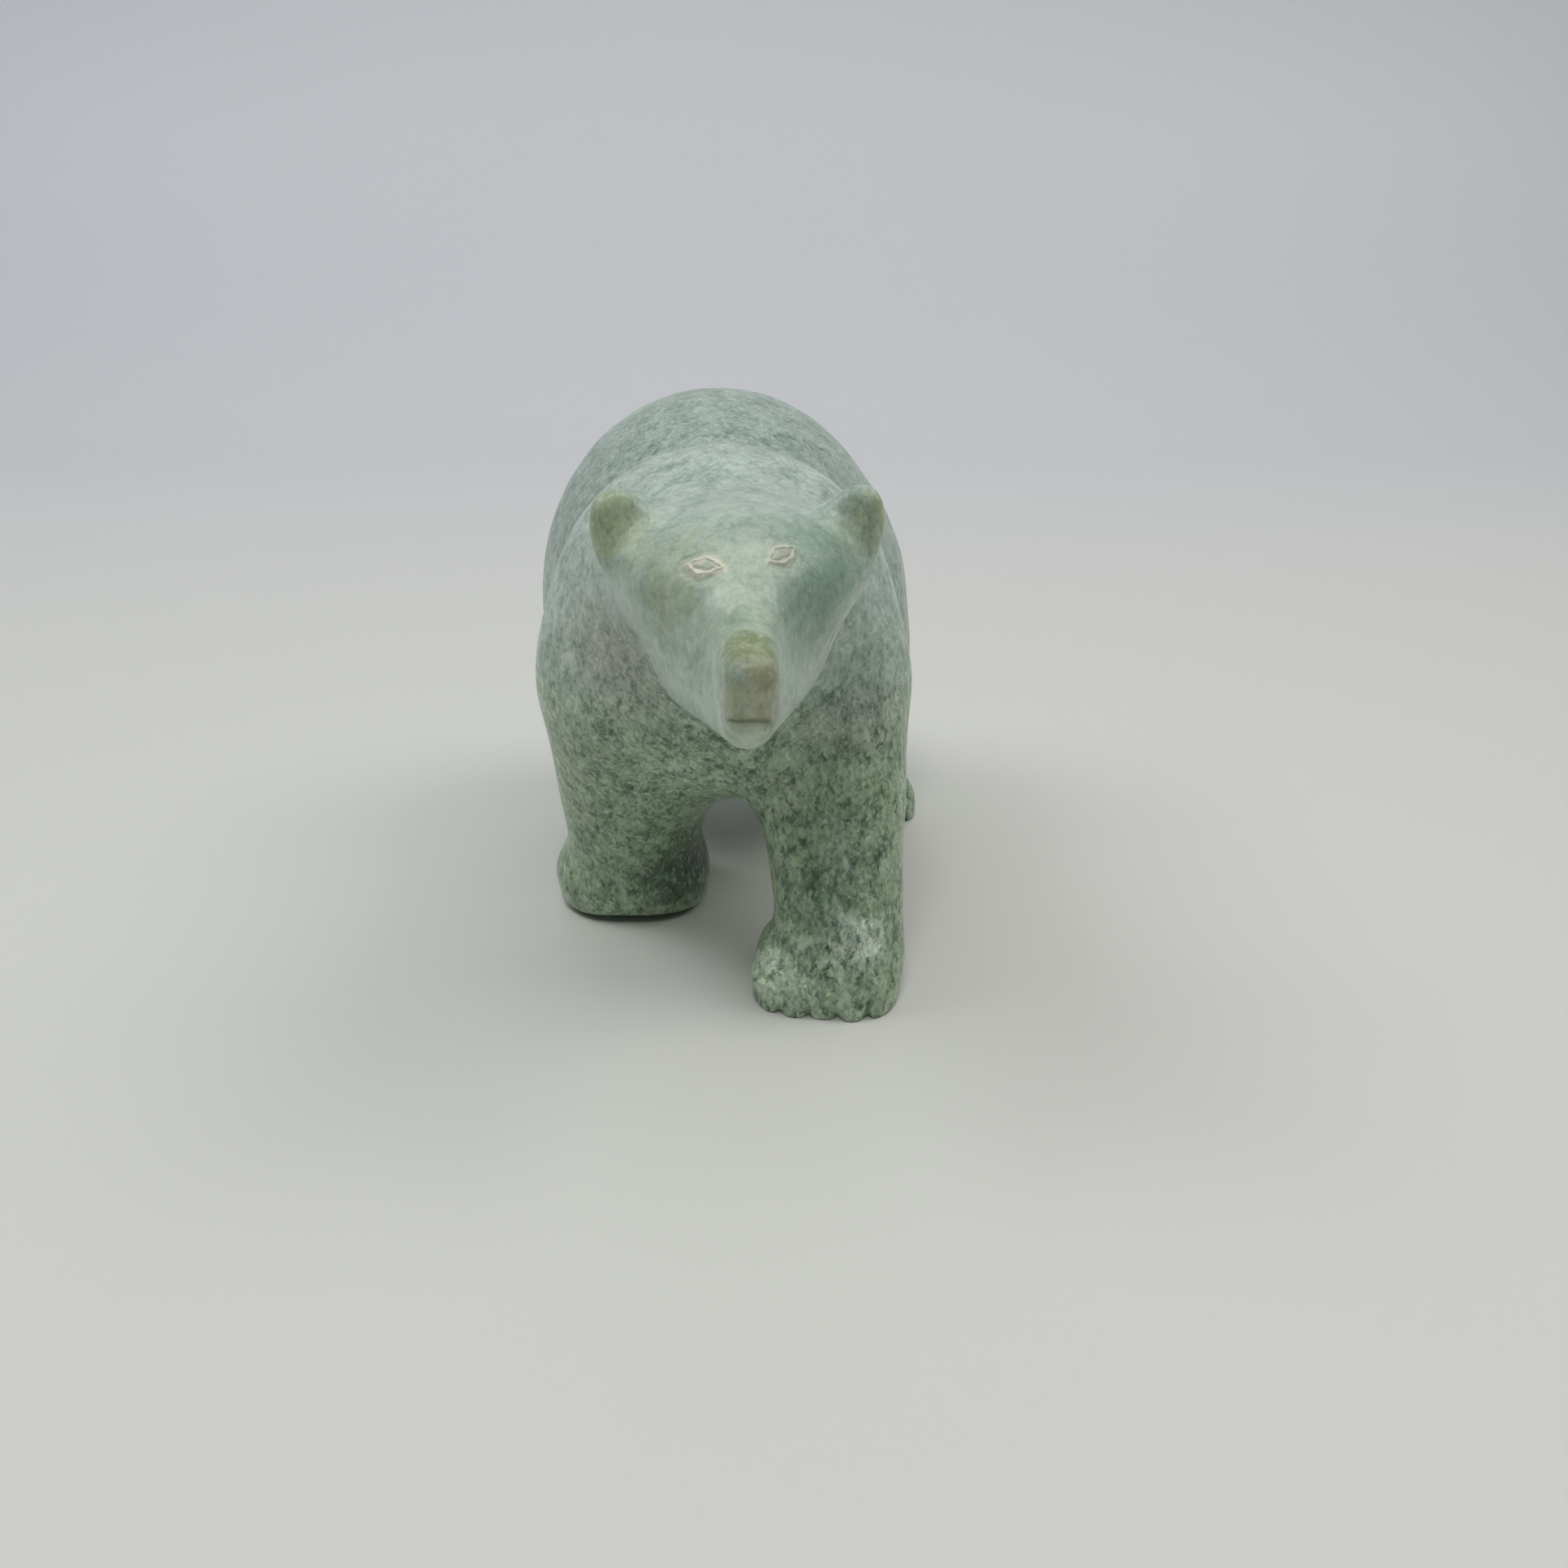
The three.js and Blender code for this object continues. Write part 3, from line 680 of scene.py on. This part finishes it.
# Mottling at three sizes: blotches, flakes and a fine grain
warp = shader.make("TexNoise", output=1, Vector=place, Scale=0.3, Detail=2.0)
warped = shader.make(
    "VectorMath", {"operation": "MULTIPLY_ADD"}, [(0, warp), (1, (4.0, 4.0, 4.0)), (2, place)]
)
bent = shader.make("TexNoise", output=1, Vector=place, Scale=0.7, Detail=2.0)
bent = shader.make(
    "VectorMath", {"operation": "MULTIPLY_ADD"}, [(0, bent), (1, (1.6, 1.6, 1.6)), (2, place)]
)
blotches = shader.noise(warped, 0.2, detail=3.0, roughness=0.6)
flakes = shader.turned(warped, (0, 10, 0), (1.0, 0.8, 0.75))
flakes = shader.noise(flakes, 0.5, detail=5.0, roughness=0.72)
grain = shader.noise(place, 2.3, detail=2.0, roughness=0.6)
chips = [shader.cells(bent, *layer)[1] for layer in CHIPS]
wobble = (blotches - 0.5) * 16.0 + (flakes - 0.5) * 9.0

# The brow is palest and coolest, the rump a little deeper, and the lower body and legs darker and more
# olive: partly the stone's own colour, partly painted shade on the chest and legs
behind = shader.step(forward + wobble * 0.6, -12.0, 14.0)
tint = shader.mix(behind, PALE_STONE, RUMP_STONE)
low_down = shader.step(up + wobble * 0.8, 66.0, 36.0)
tint = shader.mix(low_down, tint, LEG_STONE_AND_SHADE)
for at, radius, colour, strength in PATCHES:
    tint = shader.mix(shader.patch(place, at, radius, wobble * 0.8) * strength, tint, colour)

# Strokes of the rasp run down both sides of the chest towards the middle, under the chin
out = (side + 1.0).math("ABSOLUTE")
strokes = shader.make("CombineXYZ", X=(out - up) * 1.5, Y=forward * 0.4, Z=(out + up) * 0.2)
strokes = shader.noise(strokes, 0.9, detail=2.0, roughness=0.5)
on_chest = shader.patch(place, (-1.0, -32.0, 50.0), 22.0, wobble * 0.8)
on_face = shader.patch(place, (0.0, -62.0, 78.0), 38.0, wobble * 0.2)

fine = (flakes - 0.5) * 1.6 + (grain - 0.5) * 0.7 + (strokes - 0.5) * on_chest * 1.5
fine = fine + sum((chip - 0.5) * (0.35 + low_down * 0.25) for chip in chips)
flecked = fine * (0.8 + low_down * 0.35 - on_face * 0.45)
blotched = (blotches - 0.5) * (0.9 + low_down * 0.15 - on_face * 0.2)
shade = 1.0 + flecked - blotched
greener = shader.make("VectorMath", {"operation": "MULTIPLY"}, [(0, tint), (1, (0.58, 0.93, 0.7))])
tint = shader.mix((1.0 - shade).clamped() * 1.4, tint, greener)
tint = shader.scaled(tint, shade)
deep = shader.step(blotches * 0.75 + flakes * 0.25 + low_down * 0.02, 0.52, 0.7)
tint = shader.mix(deep * (0.33 + low_down * 0.12 - on_face * 0.2), tint, DEEP_GREEN)

# Flecks of talc: short bright flakes lying three ways
flecks = None
for layer in FLECKS:
    away, chance = shader.cells(bent, *layer)
    ragged = away + (grain - 0.5) * 0.7
    fleck = shader.step(ragged, 0.6, 0.15) * shader.step(chance, 0.4, 1.0)
    flecks = fleck if flecks is None else flecks.math("MAXIMUM", fleck)
tint = shader.mix(flecks * (0.42 - on_face * 0.2) * (1.0 - deep * 0.6), tint, TALC)

# The lids are scraped to bare pale stone and the eyeballs have kept some stain; the mouth slit and the
# nostril pits are painted dark, as painted shade in the cuts
marks = shader.make("Attribute", {"attribute_name": "knife_marks_and_cut_shade"})
marks = shader.make("SeparateColor", Color=marks).socket.node.outputs
lids, balls, mouth = (Value(shader.tree, socket) for socket in marks)
tint = shader.mix((balls * 0.6).clamped(), tint, (0.31, 0.33, 0.23))
tint = shader.mix((lids * (flakes * 1.8 + (grain - 0.5) * 0.8)).clamped(), tint, (0.8, 0.76, 0.63))
# Painted shade in the mouth slit and the nostril pits, in dark olive brown
tint = shader.mix((mouth * 0.65).clamped(), tint, (0.15, 0.165, 0.06))

height = grain * 0.03 + flakes * 0.06
surface = shader.make(
    "BsdfPrincipled",
    Base_Color=tint,
    Roughness=(0.4 + grain * 0.16 - flecks * 0.05).clamped(),
    IOR=1.56,
    Coat_Weight=0.2,
    Coat_Roughness=0.25,
    Sheen_Weight=0.26,
    Sheen_Roughness=0.35,
    Sheen_Tint=(0.86, 0.95, 0.9, 1.0),
    Normal=shader.make("Bump", Height=height, Strength=0.5, Distance=0.001),
)
shader.make("OutputMaterial", output=None, Surface=surface)
bear.data.materials.append(stone)
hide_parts("bear")
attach(bear, "root")

# The table: a pale sheet that runs up behind the bear, as a photographer's sweep does. It
# isn't part of the carving.
sweep_mesh = bpy.data.meshes.new("sweep")
SWEEP_HALF, SWEEP_FRONT, SWEEP_BACK, SWEEP_RADIUS, SWEEP_HEIGHT = 1.6, -0.9, 0.45, 0.25, 1.1
CURVE_STEPS = 12
profile = [(SWEEP_FRONT, 0.0)]
for step in range(CURVE_STEPS + 1):
    turn = np.radians(90 * step / CURVE_STEPS)
    profile.append((SWEEP_BACK + SWEEP_RADIUS * np.sin(turn), SWEEP_RADIUS * (1 - np.cos(turn))))
profile.append((SWEEP_BACK + SWEEP_RADIUS, SWEEP_HEIGHT))
corners = [(x, y, z) for y, z in profile for x in (-SWEEP_HALF, SWEEP_HALF)]
faces = [(2 * i, 2 * i + 1, 2 * i + 3, 2 * i + 2) for i in range(len(profile) - 1)]
sweep_mesh.from_pydata(corners, [], faces)
sweep_mesh.polygons.foreach_set("use_smooth", np.ones(len(faces), bool))
sweep = bpy.data.objects.new("sweep", sweep_mesh)
bpy.context.scene.collection.objects.link(sweep)
paper = bpy.data.materials.new("white_table")
paper_shader = Shader(paper)
NEAR_PAPER, FAR_PAPER = (0.68, 0.69, 0.655), (0.73, 0.745, 0.79)
paper_place = paper_shader.make("TexCoord", output=3)
paper_back = paper_shader.make("SeparateXYZ", Vector=paper_place, output=1)
paper_colour = paper_shader.mix(
    paper_shader.step(paper_back, 0.05, 0.7), NEAR_PAPER, FAR_PAPER
)
paper_surface = paper_shader.make(
    "BsdfPrincipled", Base_Color=paper_colour, Roughness=0.5, IOR=1.45
)
paper_shader.make("OutputMaterial", output=None, Surface=paper_surface)
sweep_mesh.materials.append(paper)

# The light: a bright soft room. A broad lamp hangs overhead, two stand in for windows at the
# sides, and a small one in front makes the soft shadow behind the paws.
world = bpy.data.worlds.new("room")
world.use_nodes = True
world.node_tree.nodes["Background"].inputs["Color"].default_value = (0.86, 0.9, 0.95, 1)
world.node_tree.nodes["Background"].inputs["Strength"].default_value = 0.1
bpy.context.scene.world = world


def soft_lamp(name, at, aim, size, watts, colour):
    data = bpy.data.lights.new(name, "AREA")
    data.shape, data.size, data.energy, data.color = "SQUARE", size, watts, colour
    lamp = bpy.data.objects.new(name, data)
    lamp.location = at
    lamp.rotation_euler = (Vector(aim) - Vector(at)).to_track_quat("-Z", "Y").to_euler()
    bpy.context.scene.collection.objects.link(lamp)


soft_lamp("overhead", (0.0, -0.05, 0.9), (0, 0.05, 0), 0.9, 2.4, (1.0, 0.99, 0.97))
soft_lamp("front_key", (-0.08, -0.5, 0.85), (0, 0, 0.03), 0.22, 1.8, (1.0, 0.99, 0.96))
soft_lamp("left_window", (-0.65, 0.05, 0.85), (0, 0, 0.04), 0.5, 2.9, (0.97, 0.985, 1.0))
soft_lamp("right_window", (0.65, 0.05, 0.85), (0, 0, 0.04), 0.5, 2.9, (1.0, 0.98, 0.95))
bpy.context.scene.view_settings.view_transform = "Standard"

# The camera stands a hand's length in front of the nose, a little above the brow, and looks
# down on the bear.
CAMERA_DIP, CAMERA_TURN = 22, -2.3
camera_data = bpy.data.cameras.new("camera")
camera_data.sensor_width, camera_data.lens = 36.0, 36.09
camera = bpy.data.objects.new("camera", camera_data)
camera.location = (-0.0025, -0.26715, 0.133)
camera.rotation_euler = (np.radians(90 - CAMERA_DIP), 0, np.radians(CAMERA_TURN))
bpy.context.scene.collection.objects.link(camera)
bpy.context.scene.camera = camera
